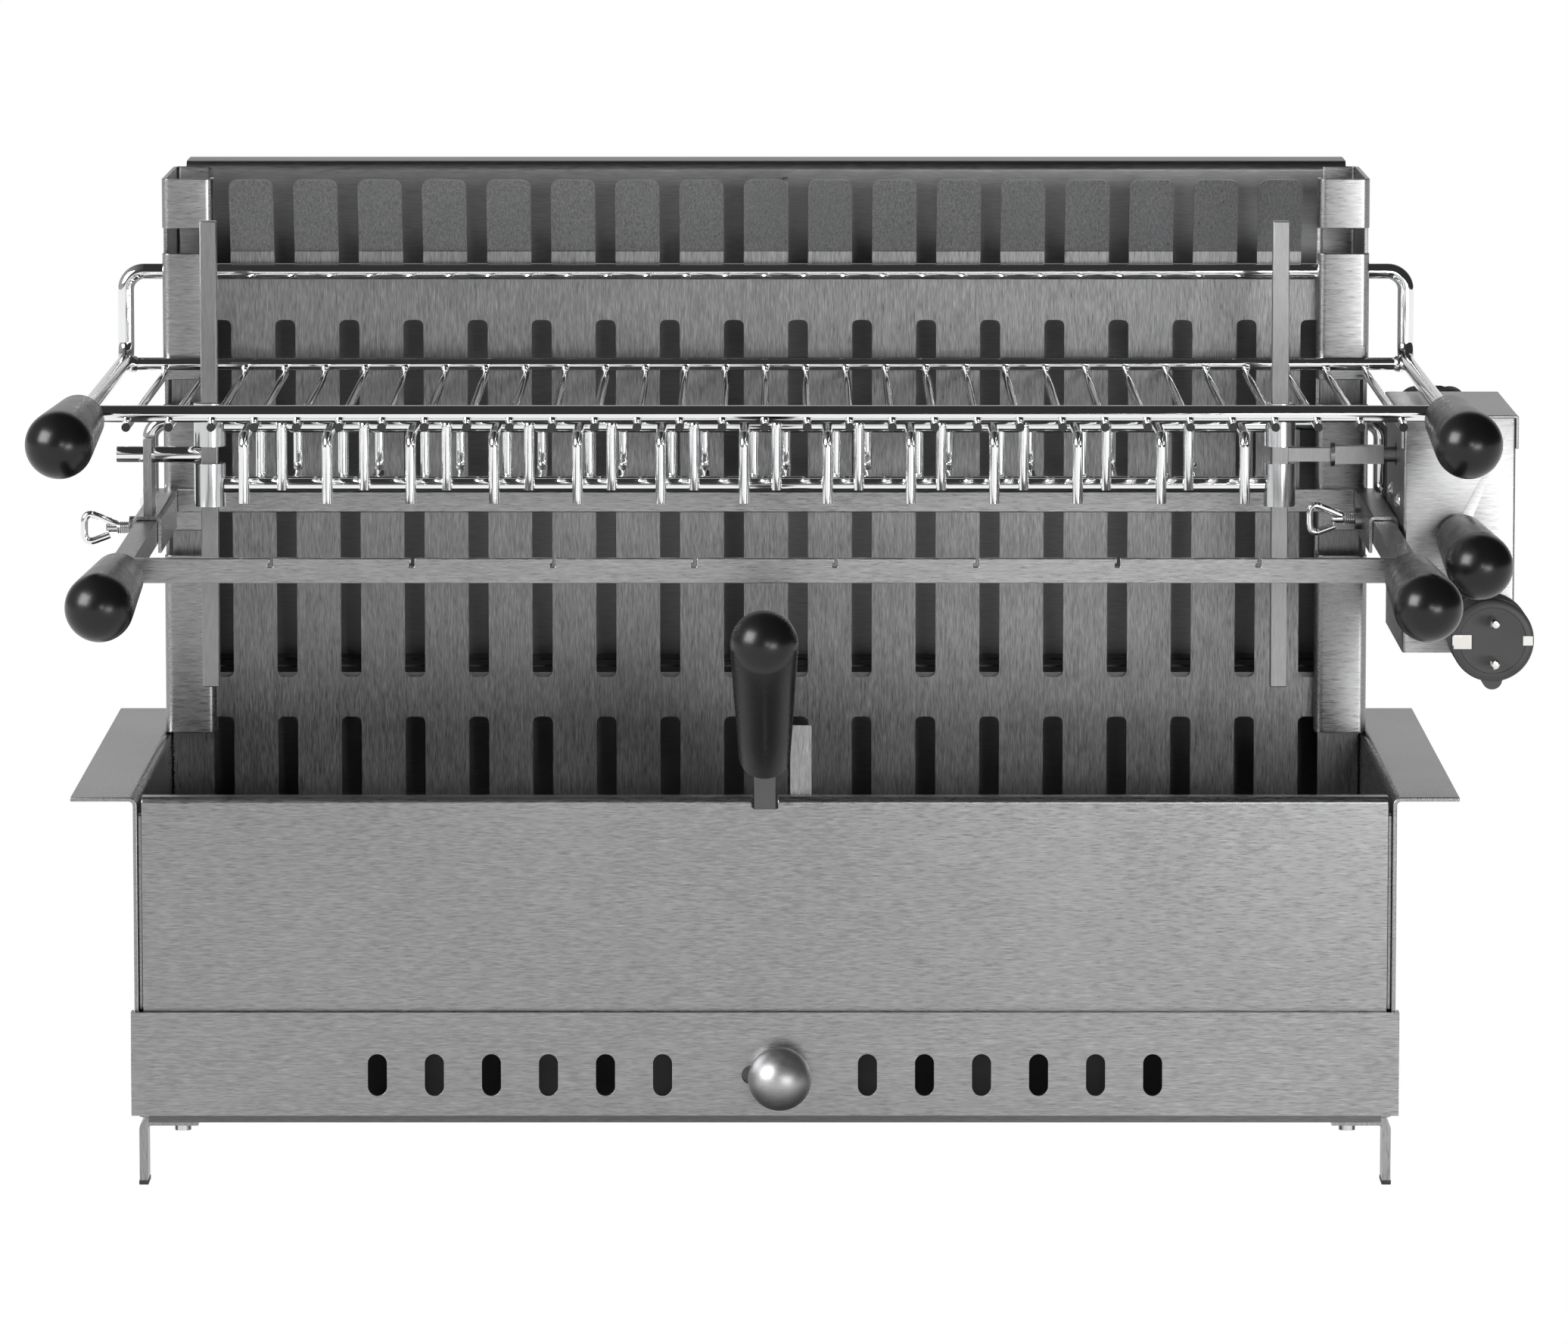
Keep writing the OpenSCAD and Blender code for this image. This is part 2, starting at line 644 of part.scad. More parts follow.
module shaft_rest() color(steel) difference() {
    x0 = -arm_x - 2;
    block([x0, spit_y - 13, clamp_top], [x0 + 4, spit_y + 13, spit_z + 8]);
    block([x0 - 1, spit_y - shaft_d / 2 - gap, spit_z], [x0 + 5, spit_y + shaft_d / 2 + gap, spit_z + 9]);
    rod_x(x0 - 1, x0 + 5, spit_y, spit_z, shaft_d + 2 * gap);
}

// A screw with a three-cornered wire handle, its tip at the origin and its handle along +X.
module thumbscrew() {
    wire = 3.2;
    neck = clamp_t + boss_t + 6;
    reach = 16;
    half = 8;
    color(chrome) {
        rod_x(0, neck, 0, 0, screw_d - 2 * run);
        rod_x(neck - 3, neck, 0, 0, 9);
        corner = [[neck - 1, 0, 0], [neck + reach, 0, half], [neck + reach, 0, -half]];
        for (i = [0 : 2]) {
            strut(corner[i], corner[(i + 1) % 3], wire);
            translate(corner[i]) sphere(d = wire + 0.4);
        }
    }
}
module left_thumbscrew()
    translate([-arm_out - gap / 2, left_screw_y, screw_z]) mirror([1, 0, 0]) thumbscrew();
module right_thumbscrew()
    translate([arm_x - arm_w / 2 - gap / 2, right_screw_y, screw_z]) mirror([1, 0, 0]) thumbscrew();

module motor_housing() color(steel) difference() {
    x1 = housing_x + motor_w;
    union() {
        block([housing_x, housing_y, housing_z], [x1, housing_back, lid_z - eps]);
        rod_y(housing_x + motor_w / 2, motor_grip_y - stem_in, housing_y + eps, motor_grip_z, rod_d);
    }
    block([housing_x + wall, housing_y + wall, housing_z + wall],
        [x1 - wall, housing_back - wall, lid_z + 1]);
    rod_x(housing_x - 1, housing_x + wall + 1, spit_y, spit_z, drive_d + 4);
}

module motor_lid() color(steel) difference() {
    block([housing_x - lid_t, housing_y, lid_z - lid_side], [lid_x1, housing_back + lid_t, lid_z + lid_t]);
    block([housing_x, housing_y - 1, lid_z - lid_side - 1], [housing_x + motor_w, housing_back, lid_z]);
    for (s = [-1, 1])
        rod_y(wind_x + s * peg_x, housing_back - 1, housing_back + lid_t + 1, peg_z, peg_d + 2 * gap);
}

module gear_motor() color(grey) difference() {
    union() {
        block([hub_x0 + 4, spit_y - 28, spit_z - 40], [hub_x0 + 26, spit_y + 28, lid_z - 3]);
        rod_x(housing_x + wall, hub_x0 + 4 + eps, spit_y - 20, spit_z - 28, 8);
        rod_x(housing_x + wall, hub_x0 + 4 + eps, spit_y + 20, spit_z - 28, 8);
        rod_x(hub_x0 + 26 - eps, housing_x + motor_w - wall - 4, spit_y, spit_z - 20, 38);
    }
    rod_x(hub_x0, hub_x1 + 0.4, spit_y, spit_z, hub_d + 2 * run);
}

module drive_hub() color(chrome) difference() {
    rod_x(hub_x0, hub_x1, spit_y, spit_z, hub_d);
    rod_x(hub_x0 - 1, hub_x1 - 4, spit_y, spit_z, drive_d);
}

module housing_screws() color(chrome) for (y = [78, 128]) intersection() {
    translate([housing_x + 2.5, y, clamp_top + 8]) sphere(r = 5);
    block([housing_x - 5, y - 5, clamp_top], [housing_x, y + 5, clamp_top + 16]);
}

module motor_grip() color(black)
    translate([housing_x + motor_w / 2, motor_grip_y, motor_grip_z]) grip(rod_d);

// A tapered strain relief on the back of the housing.
module cord_gland() color(black) translate([wind_x, housing_back, gland_z]) rotate([-90, 0, 0]) {
    cylinder(h = 4, d = 15);
    cylinder(h = gland_len, d1 = 11, d2 = lead_d + 1.6);
}

// Two pegs with round end plates that the wound lead hangs on.
module cord_cleats() color(grey) for (s = [-1, 1]) {
    rod_y(wind_x + s * peg_x, housing_back, wind_y1 + 4.5, peg_z, peg_d);
    rod_y(wind_x + s * peg_x, wind_y1 + 4.5, wind_y1 + 7, peg_z + 4, 16);
}

// Saddles that hold the lead under the housing.
module cord_clips() color(grey) for (p = [[wind_x + wind_r, 140], [wind_x + wind_r - 4, 100]])
    translate([p[0], p[1] - 4, exit_z]) rotate([-90, 0, 0]) linear_extrude(8) {
        r = lead_d / 2;
        difference() {
            union() {
                circle(r + 1.4);
                translate([-r - 1.4, -(housing_z - exit_z)]) square([2 * r + 2.8, housing_z - exit_z]);
            }
            circle(r + gap);
            translate([-r - gap, -(housing_z - exit_z) - 1]) square([2 * r + 2 * gap, housing_z - exit_z]);
        }
    }

module lead_winding() color(black) translate([0, wind_y1, 0]) rotate([90, 0, 0])
    linear_extrude(wind_y1 - wind_y0) difference() {
        stadium(wind_r + lead_d / 2);
        stadium(wind_r - lead_d / 2);
    }

module stadium(r) {
    for (z = [wind_z0, wind_z1]) translate([wind_x, z]) circle(r);
    translate([wind_x - r, wind_z0]) square([2 * r, wind_z1 - wind_z0]);
}

// A tube of eight-sided rings swept along a list of points.
module sweep(points, d, up) {
    n = len(points);
    sides = 8;
    function along(i) = let (v = points[min(i + 1, n - 1)] - points[max(i - 1, 0)]) v / norm(v);
    rings = [for (i = [0 : n - 1]) let (t = along(i), s = cross(t, up), a = s / norm(s), b = cross(t, a))
        for (k = [0 : sides - 1]) points[i] + d / 2 * (cos(k * 360 / sides) * a + sin(k * 360 / sides) * b)];
    faces = concat([[for (k = [0 : sides - 1]) k]],
        [for (i = [0 : n - 2], k = [0 : sides - 1]) let (m = (k + 1) % sides)
            [i * sides + k, (i + 1) * sides + k, (i + 1) * sides + m, i * sides + m]],
        [[for (k = [sides - 1 : -1 : 0]) (n - 1) * sides + k]]);
    polyhedron(rings, faces);
}

module lead_run() color(black) translate([wind_x, 0, housing_z]) {
    sweep(run_points, lead_d, [1, 0.02, 0.01]);
    sweep(lead_in, lead_d, [1, 0.02, 0.01]);
}

module lead_tie() {
    r = lead_d / 2;
    x0 = wind_x - wind_r - r;
    x1 = wind_x - wind_r + r;
    z = (wind_z0 + wind_z1) / 2;
    color(grey) difference() {
        block([x0 - 0.6, wind_y0 - 0.8, z - 4], [x1 + 0.8, wind_y1 + 0.8, z + 4]);
        block([x0, wind_y0, z - 5], [x1, wind_y1, z + 5]);
    }
}

module plug_body() color(grey) {
    difference() {
        union() {
            rod_y(plug_x, plug_y0 + 2, plug_y1, plug_z, plug_d);
            rod_y(plug_x, plug_y0, plug_y0 + 2 + eps, plug_z, plug_d - 3);
            rod_y(plug_x, plug_y1 - 24, plug_y1, exit_z, 11);
        }
        both_sides_of(plug_x) block([plug_x + plug_d / 2 - 3.2, plug_y0 - 1, plug_z - 3.5],
            [plug_x + plug_d, plug_y0 + 20, plug_z + 3.5]);
    }
    translate([plug_x, plug_y1, exit_z]) rotate([-90, 0, 0]) cylinder(h = 28, d1 = 11, d2 = lead_d + 1);
}

module both_sides_of(x) {
    children();
    translate([2 * x, 0, 0]) mirror([1, 0, 0]) children();
}

module plug_contacts() color(chrome) {
    for (s = [-1, 1]) {
        rod_y(plug_x, -14, plug_y0, plug_z + s * 9.5, 4.8);
        translate([plug_x, -14, plug_z + s * 9.5]) sphere(d = 4.8, $fn = 24);
    }
    both_sides_of(plug_x) block([plug_x + plug_d / 2 - 3.2, plug_y0 + 1, plug_z - 3],
        [plug_x + plug_d / 2 - 2, plug_y0 + 20, plug_z + 3]);
}

module spit_bars() color(steel) for (x = [left_bar_x, right_bar_x])
    block([x - bar_d / 2, spit_y - bar_d / 2, spit_z - bar_len / 2],
        [x + bar_d / 2, spit_y + bar_d / 2, spit_z + bar_len / 2]);

module spit_left_shaft() color(chrome)
    rod_x(left_shaft_end, left_bar_x - bar_d / 2, spit_y, spit_z, shaft_d);

module spit_drive_shaft() color(chrome) {
    small = 6.4;
    x0 = right_bar_x + bar_d / 2;
    step = 272;
    block([x0, spit_y - small / 2, spit_z - small / 2], [step, spit_y + small / 2, spit_z + small / 2]);
    rod_x(step - eps, step + 2, spit_y, spit_z, 11.5);
    block([step + 2 - eps, spit_y - drive_square / 2, spit_z - drive_square / 2],
        [housing_x - 6, spit_y + drive_square / 2, spit_z + drive_square / 2]);
    rod_x(housing_x - 6 - eps, hub_x1 - 5, spit_y, spit_z, drive_d);
}

// One comb: a rod, long hooked prongs and short fingers that reach past the other comb's rod.
// It is drawn about the spit's axis, with its rod above the axis and its prongs to the front.
module comb(prongs_x, fingers_x) {
    side = rod_d / 2 + prong_d / 2 + gap;
    r = prong_d;
    rod_x(left_bar_x + collar_d / 2 - 0.5, right_bar_x - collar_d / 2 + 0.5, 0, comb_off, rod_d);
    for (x = prongs_x) {
        rod_y(x, -prong_reach + r, 0, comb_off, prong_d);
        translate([x, -prong_reach + r, comb_off - r]) rotate([90, 0, -90]) bend(r, prong_d);
        rod_z(x, -prong_reach, comb_off - prong_drop, comb_off - r, prong_d);
    }
    for (x = fingers_x) {
        rod_y(x, -side, 0, comb_off, prong_d);
        translate([x, -side, comb_off]) sphere(d = prong_d + 0.4);
        rod_z(x, -side, -comb_off - 2, comb_off, prong_d);
    }
}

// Square-holed collars on the two bars, about the spit's axis.
module collars() for (x = [left_bar_x, right_bar_x]) difference() {
    rod_z(x, 0, comb_off - collar_h / 2, comb_off + collar_h / 2, collar_d);
    block([x - bar_d / 2 - gap, -bar_d / 2 - gap, comb_off - collar_h],
        [x + bar_d / 2 + gap, bar_d / 2 + gap, comb_off + collar_h]);
}

module on_axis() translate([0, spit_y, spit_z]) children();
// Middles of every other gap between the grill's wires, from the one next to the left bar.
function gaps_from(first, count) = [for (k = [0 : count - 1]) left_bar_x + (first + 2 * k) * wire_pitch];
module upper_comb() color(chrome) on_axis() comb(gaps_from(1, prong_n),
    [for (x = gaps_from(2, prong_n - 1)) x - finger_shift]);
module upper_collars() color(chrome) on_axis() collars();
module lower_comb() color(chrome) on_axis() rotate([180, 0, 0]) comb(gaps_from(2, prong_n - 1),
    [for (x = gaps_from(1, prong_n)) x + finger_shift]);
module lower_collars() color(chrome) on_axis() rotate([180, 0, 0]) collars();

place() left_side_wall();
place() right_side_wall();
place() front_panel();
place() floor_pan();
place() back_wall();
place() feet();
place() foot_bolts();
place() left_post();
place() right_post();
place() rear_panel();
place() fire_grate();
place() fire_floor();
place() divider_plate();
place() front_tab();
place() tray_rails();
place() panel_rivets();
place() rack_hook_rod();
place() rack_arms();
place() rack_front_bar();
place() rack_rear_bar();
place() rack_grips();
place() drawer_tray();
place() drawer_front();
place() damper_plate();
place() damper_knob();
place() drip_tray();
place() tray_handle_stem();
place() tray_grip();
place() grill_frame();
place() grill_front_rod();
place() grill_back_rod();
place() grill_wires();
place() grill_grips();
place() left_clamp();
place() shaft_rest();
place() left_thumbscrew();
place() right_clamp();
place() motor_housing();
place() motor_lid();
place() gear_motor();
place() housing_screws();
place() motor_grip();
place() cord_gland();
place() cord_cleats();
place() cord_clips();
place() lead_winding();
place() lead_run();
place() lead_tie();
place() plug_body();
place() plug_contacts();
place() right_thumbscrew();
place() spit_bars();
place() spit_left_shaft();
place() spit_drive_shaft();
place() drive_hub();
place() upper_comb();
place() upper_collars();
place() lower_comb();
place() lower_collars();
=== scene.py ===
"""Looks for a vertical-charcoal rotisserie barbecue in stainless sheet and rod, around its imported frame."""

import math

import bmesh
import bpy
from mathutils import Matrix, Vector


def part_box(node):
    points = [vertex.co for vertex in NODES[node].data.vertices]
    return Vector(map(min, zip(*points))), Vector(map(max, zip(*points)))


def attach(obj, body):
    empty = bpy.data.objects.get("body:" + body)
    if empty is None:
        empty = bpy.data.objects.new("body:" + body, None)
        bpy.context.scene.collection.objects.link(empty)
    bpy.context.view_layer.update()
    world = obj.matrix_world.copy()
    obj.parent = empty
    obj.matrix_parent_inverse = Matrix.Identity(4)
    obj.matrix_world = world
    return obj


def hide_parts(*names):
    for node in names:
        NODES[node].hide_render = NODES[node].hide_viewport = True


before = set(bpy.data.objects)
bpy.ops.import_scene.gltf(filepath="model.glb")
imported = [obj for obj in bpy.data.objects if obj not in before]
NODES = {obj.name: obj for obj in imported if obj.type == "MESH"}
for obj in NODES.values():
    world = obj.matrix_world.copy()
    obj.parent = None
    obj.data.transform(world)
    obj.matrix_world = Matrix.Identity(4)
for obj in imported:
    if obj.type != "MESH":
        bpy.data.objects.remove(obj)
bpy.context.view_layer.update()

MM = 0.001

# The middle of the front panel's face on the ground is where all the places below are counted from.
PANEL_LOW, PANEL_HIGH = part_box("front_panel")
MIDDLE_X = (PANEL_LOW.x + PANEL_HIGH.x) / 2
FRONT_Y = PANEL_LOW.y


def at(x, y, z):
    """A place in millimetres from the foot of the front panel's middle, as a point in the frame."""
    return Vector((MIDDLE_X + x * MM, FRONT_Y + y * MM, z * MM))


# ---------------------------------------------------------------- camera

EYE = (9, -4200, 777.5)
PITCH = 7.22            # degrees that the camera looks down
LENS = 206.3


def make_camera():
    camera = bpy.data.cameras.new("camera")
    camera.sensor_width = 36
    camera.lens = LENS
    camera.clip_end = 100
    holder = bpy.data.objects.new("camera", camera)
    holder.location = at(*EYE)
    holder.rotation_euler = (math.radians(90 - PITCH), 0, 0)
    bpy.context.scene.collection.objects.link(holder)
    bpy.context.scene.camera = holder


make_camera()


# ---------------------------------------------------------------- shader maths

class Paint:
    """One node tree and the way its nodes are made."""

    def __init__(self, owner):
        owner.use_nodes = True
        self.owner = owner
        self.tree = owner.node_tree
        self.tree.nodes.clear()

    def node(self, kind, settings=None, inputs=None, output=0):
        made = self.tree.nodes.new(kind)
        for name, value in (settings or {}).items():
            if name == "stops":
                self.set_stops(made.color_ramp, value)
            else:
                setattr(made, name, value)
        for name, value in (inputs or {}).items():
            if isinstance(value, Sock):
                self.tree.links.new(value.socket, made.inputs[name])
            else:
                made.inputs[name].default_value = value
        return Sock(self, made.outputs[output]) if made.outputs else None

    @staticmethod
    def set_stops(ramp, stops):
        while len(ramp.elements) < len(stops):
            ramp.elements.new(1)
        for element, (place, level) in zip(ramp.elements, stops):
            element.position = place
            element.color = (level, level, level, 1)

    def spot(self, stretch=(1, 1, 1)):
        """The piece's own place, stretched along each axis."""
        place = self.node("ShaderNodeTexCoord", output="Object")
        return self.node("ShaderNodeMapping", inputs={"Vector": place, "Scale": stretch})

    def noise(self, stretch, detail=3, rough=0.6):
        """Cloudy values from 0 to 1, with so many cells a metre along each axis."""
        return self.node("ShaderNodeTexNoise", inputs={
            "Vector": self.spot(stretch), "Scale": 1, "Detail": detail, "Roughness": rough})

    def tint(self, dark, light, amount):
        return self.node("ShaderNodeMix", {"data_type": "RGBA"}, {
            0: amount, 6: (*dark, 1), 7: (*light, 1)}, output=2)

    def bump(self, height, strength, depth):
        return self.node("ShaderNodeBump", inputs={"Height": height, "Strength": strength, "Distance": depth})

    def surface(self, **inputs):
        shader = self.node("ShaderNodeBsdfPrincipled", inputs={
            name.replace("_", " "): value for name, value in inputs.items()})
        self.node("ShaderNodeOutputMaterial", inputs={"Surface": shader})
        return self.owner


class Sock:
    """A socket whose arithmetic adds Math nodes."""

    def __init__(self, paint, socket):
        self.paint = paint
        self.socket = socket

    def math(self, operation, first, second=0.0, clamp=False):
        settings = {"operation": operation, "use_clamp": clamp}
        return self.paint.node("ShaderNodeMath", settings, {0: first, 1: second})

    def __add__(self, other):
        return self.math("ADD", self, other)

    def __radd__(self, other):
        return self.math("ADD", other, self)

    def __sub__(self, other):
        return self.math("SUBTRACT", self, other)

    def __rsub__(self, other):
        return self.math("SUBTRACT", other, self)

    def __mul__(self, other):
        return self.math("MULTIPLY", self, other)

    def __rmul__(self, other):
        return self.math("MULTIPLY", other, self)

    def clamp(self):
        return self.math("ADD", self, 0.0, clamp=True)


def brushed(name, base, grain, rough=0.3, contrast=0.5):
    """Sheet that was brushed along one axis: short fine scratches over slow cloudy patches."""
    paint = Paint(bpy.data.materials.new(name))
    scratches = paint.noise([190 if axis == grain else 2400 for axis in "xyz"], detail=2, rough=0.5)
    strokes = paint.noise([90 if axis == grain else 1150 for axis in "xyz"], detail=1)
    clouds = paint.noise((7, 7, 7), detail=2)
    streak = ((scratches - 0.5) * 1.5 + (strokes - 0.5) * 0.8 + (clouds - 0.5) * 0.25 + 0.45).clamp()
    dark = [c * (1 - contrast * 0.45) for c in base]
    light = [min(1, c * (1 + contrast * 0.95)) for c in base]
    return paint.surface(
        Base_Color=paint.tint(dark, light, streak),
        Metallic=1.0,
        Roughness=(clouds - 0.5) * 0.1 + streak * 0.1 + (rough - 0.05),
        Normal=paint.bump(streak, 0.08, 0.00005))


def polished(name, base, rough):
    """Bright rod: nearly a mirror, with faint drawing lines and a few cloudy patches."""
    paint = Paint(bpy.data.materials.new(name))
    clouds = paint.noise((60, 60, 60), detail=4)
    fine = paint.noise((900, 900, 900), detail=2)
    return paint.surface(
        Base_Color=paint.tint([c * 0.9 for c in base], base, clouds),
        Metallic=1.0,
        Roughness=(clouds - 0.5) * 0.06 + rough,
        Normal=paint.bump(fine, 0.05, 0.00005))


def moulded(name, base, rough, grain=1400, shine=0.5, depth=0.00006):
    """Moulded plastic or rubber with a fine skin and a little unevenness in its sheen."""
    paint = Paint(bpy.data.materials.new(name))
    skin = paint.noise((grain, grain, grain), detail=2)
    clouds = paint.noise((25, 25, 25), detail=3)
    return paint.surface(
        Base_Color=paint.tint([c * 0.75 for c in base], [c * 1.3 for c in base], clouds),
        Roughness=(clouds - 0.5) * 0.14 + (skin - 0.5) * 0.08 + rough,
        Specular_IOR_Level=shine,
        Normal=paint.bump(skin, 0.25, depth))


SHEET = (0.27, 0.27, 0.273)
FINISH = {
    "sheet_across": brushed("steel_brushed_across", SHEET, "x", 0.3),
    "sheet_deep": brushed("steel_brushed_front_to_back", SHEET, "y", 0.3),
    "sheet_up": brushed("steel_brushed_upright", SHEET, "z", 0.31),
    "grate": brushed("fire_grate_steel", (0.19, 0.19, 0.192), "z", 0.33, contrast=0.75),
    "back_sheet": brushed("rear_sheet", (0.21, 0.21, 0.212), "x", 0.36, contrast=0.25),
    "mill": brushed("mill_sheet", (0.12, 0.12, 0.122), "x", 0.4, contrast=0.35),
    "bar": brushed("drawn_square_bar", (0.25, 0.25, 0.253), "z", 0.34, contrast=0.2),
    "rod": polished("polished_rod", (0.9, 0.905, 0.91), 0.07),
    "collar": polished("turned_collar", (0.66, 0.665, 0.67), 0.17),
    "grip": moulded("black_grip", (0.006, 0.006, 0.0065), 0.27, shine=0.36, depth=0.00001),
    "knob": brushed("brushed_knob", (0.4, 0.4, 0.405), "x", 0.44, contrast=0.15),
    "motor": moulded("dark_motor_paint", (0.05, 0.05, 0.053), 0.45),
    "lead": moulded("lead_rubber", (0.014, 0.014, 0.015), 0.55),
    "plug": moulded("plug_plastic", (0.028, 0.028, 0.03), 0.42, grain=1800),
    "nickel": polished("nickel_contact", (0.78, 0.76, 0.72), 0.18),
    # near-black pads under the feet: a painted dark reflection of the feet's rounded undersides
    "painted_dark_foot_bottom": moulded("foot_underside_painted_dark", (0.012, 0.012, 0.012), 0.5),
    # near-black discs for the wire ends: a painted dark reflection, not the colour of the cut steel
    "painted_dark_end": moulded("wire_end_painted_dark_reflection", (0.01, 0.01, 0.01), 0.6),
}

NODE_FINISH = {
    "sheet_across": ["front_panel", "left_post", "right_post", "drawer_front", "rack_front_bar",
                     "rack_rear_bar", "drip_tray"],
    "back_sheet": ["rear_panel", "back_wall"],
    "sheet_deep": ["left_side_wall", "right_side_wall", "rack_arms", "left_clamp", "right_clamp",
                   "motor_lid"],
    "sheet_up": ["motor_housing", "shaft_rest", "feet", "tray_handle_stem", "front_tab"],
    "grate": ["fire_grate", "divider_plate"],
    "mill": ["floor_pan", "fire_floor", "tray_rails", "drawer_tray", "damper_plate"],
    "bar": ["spit_bars", "spit_drive_shaft"],
    "rod": ["grill_frame", "grill_front_rod", "grill_back_rod", "grill_wires", "rack_hook_rod", "upper_comb",
            "lower_comb", "spit_left_shaft", "left_thumbscrew", "right_thumbscrew"],
    "collar": ["upper_collars", "lower_collars", "drive_hub", "foot_bolts", "panel_rivets", "housing_screws"],
    "grip": ["rack_grips", "grill_grips", "tray_grip", "motor_grip"],
    "knob": ["damper_knob"],
    "motor": ["gear_motor", "cord_cleats", "cord_clips"],
    "lead": ["lead_run", "lead_winding", "lead_tie", "cord_gland"],
    "plug": ["plug_body"],
    "nickel": ["plug_contacts"],
}


def finish_nodes():
    for finish, names in NODE_FINISH.items():
        for name in names:
            slots = NODES[name].data.materials
            slots.clear()
            slots.append(FINISH[finish])


finish_nodes()


# ---------------------------------------------------------------- making pieces

def piece(name, bm, finish, body, replaces=()):
    """Makes a mesh object from a bmesh, in place, and lets it ride on its body."""
    bmesh.ops.recalc_face_normals(bm, faces=bm.faces)
    mesh = bpy.data.meshes.new(name)
    bm.to_mesh(mesh)
    bm.free()
    mesh.materials.append(FINISH[finish])
    mesh.shade_smooth()
    mesh.set_sharp_from_angle(angle=math.radians(38))
    made = bpy.data.objects.new(name, mesh)
    bpy.context.scene.collection.objects.link(made)
    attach(made, body)
    if replaces:
        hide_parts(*replaces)
    return made


def turned(bm, outline, place, axis, steps=48):
    """Spins an outline of (radius, height) pairs about an axis through a place; its ends lie on the axis."""
    points = [bm.verts.new((radius * MM, 0, height * MM)) for radius, height in outline]
    edges = [bm.edges.new(pair) for pair in zip(points, points[1:])]
    before = set(bm.verts) - set(points)
    bmesh.ops.spin(bm, geom=points + edges, cent=(0, 0, 0), axis=(0, 0, 1), angle=2 * math.pi, steps=steps,
                   use_merge=True)
    fresh = [v for v in bm.verts if v not in before]
    bmesh.ops.remove_doubles(bm, verts=fresh, dist=0.00002)
    fresh = [v for v in bm.verts if v not in before]
    turn = Vector((0, 0, 1)).rotation_difference(Vector(axis)).to_matrix().to_4x4()
    bmesh.ops.transform(bm, matrix=Matrix.Translation(place) @ turn, verts=fresh)
    return fresh


def arc(middle, height, radius, start, end, count=8):
    """(radius, height) pairs along an arc, its angles in degrees from the level."""
    return [(middle + radius * math.cos(math.radians(start + (end - start) * i / count)),
             height + radius * math.sin(math.radians(start + (end - start) * i / count)))
            for i in range(count + 1)]


def wire(name, points, diameter, finish, body, replaces=()):
    """A round wire or lead along a list of points, as a curve of one spline."""
    curve = bpy.data.curves.new(name, "CURVE")
    curve.dimensions = "3D"
    curve.bevel_depth = diameter * MM / 2
    curve.bevel_resolution = 6
    curve.use_fill_caps = True
    spline = curve.splines.new("POLY")
    spline.points.add(len(points) - 1)
    for point, place in zip(spline.points, points):
        point.co = (*place, 1)
    spline.use_smooth = True
    curve.materials.append(FINISH[finish])
    made = bpy.data.objects.new(name, curve)
    bpy.context.scene.collection.objects.link(made)
    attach(made, body)
    if replaces:
        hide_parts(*replaces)
    return made


def eased(points, cuts=5):
    """A smooth line through a list of points."""
    ends = [2 * points[0] - points[1], *points, 2 * points[-1] - points[-2]]
    line = []
    for a, b, c, d in zip(ends, ends[1:], ends[2:], ends[3:]):
        for i in range(cuts):
            t = i / cuts
            line.append(0.5 * (2 * b + (c - a) * t + (2 * a - 5 * b + 4 * c - d) * t ** 2
                               + (3 * b - 3 * c + d - a) * t ** 3))
    return line + [points[-1]]


# ---------------------------------------------------------------- the mains lead

LEAD_D = 6.6
WIND_LOW, WIND_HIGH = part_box("lead_winding")
WIND_X = ((WIND_LOW.x + WIND_HIGH.x) / 2 - MIDDLE_X) / MM
WIND_R = 21
WIND_Z0 = WIND_LOW.z / MM + WIND_R + LEAD_D / 2
WIND_Z1 = WIND_HIGH.z / MM - WIND_R - LEAD_D / 2
WIND_STEP = 6.7
WIND_BACK_Y = 206.7     # the rearmost turn
TURNS = 4
RUN_Z = 241.5           # the lead's height under the housing and into the plug


def winding():
    """The turns of the wound lead, from the back to the housing, each a loop with round ends."""
    straight = WIND_Z1 - WIND_Z0
    half = math.pi * WIND_R
    whole = 2 * (straight + half)
    total = TURNS * whole + half + straight
    count = round(total / 6)
    points = []
    for i in range(1, count + 1):
        walked = total * i / count
        y = WIND_BACK_Y - WIND_STEP * walked / whole
        left = walked % whole
        if left < half:
            angle = math.pi * (1 - left / WIND_R / math.pi)
            x, z = WIND_R * math.cos(angle), WIND_Z1 + WIND_R * math.sin(angle)
        elif left < half + straight:
            x, z = WIND_R, WIND_Z1 - (left - half)
        elif left < 2 * half + straight:
            angle = -(left - half - straight) / WIND_R
            x, z = WIND_R * math.cos(angle), WIND_Z0 + WIND_R * math.sin(angle)
        else:
            x, z = -WIND_R, WIND_Z0 + left - 2 * half - straight
        points.append(at(WIND_X + x, y, z))
    return points


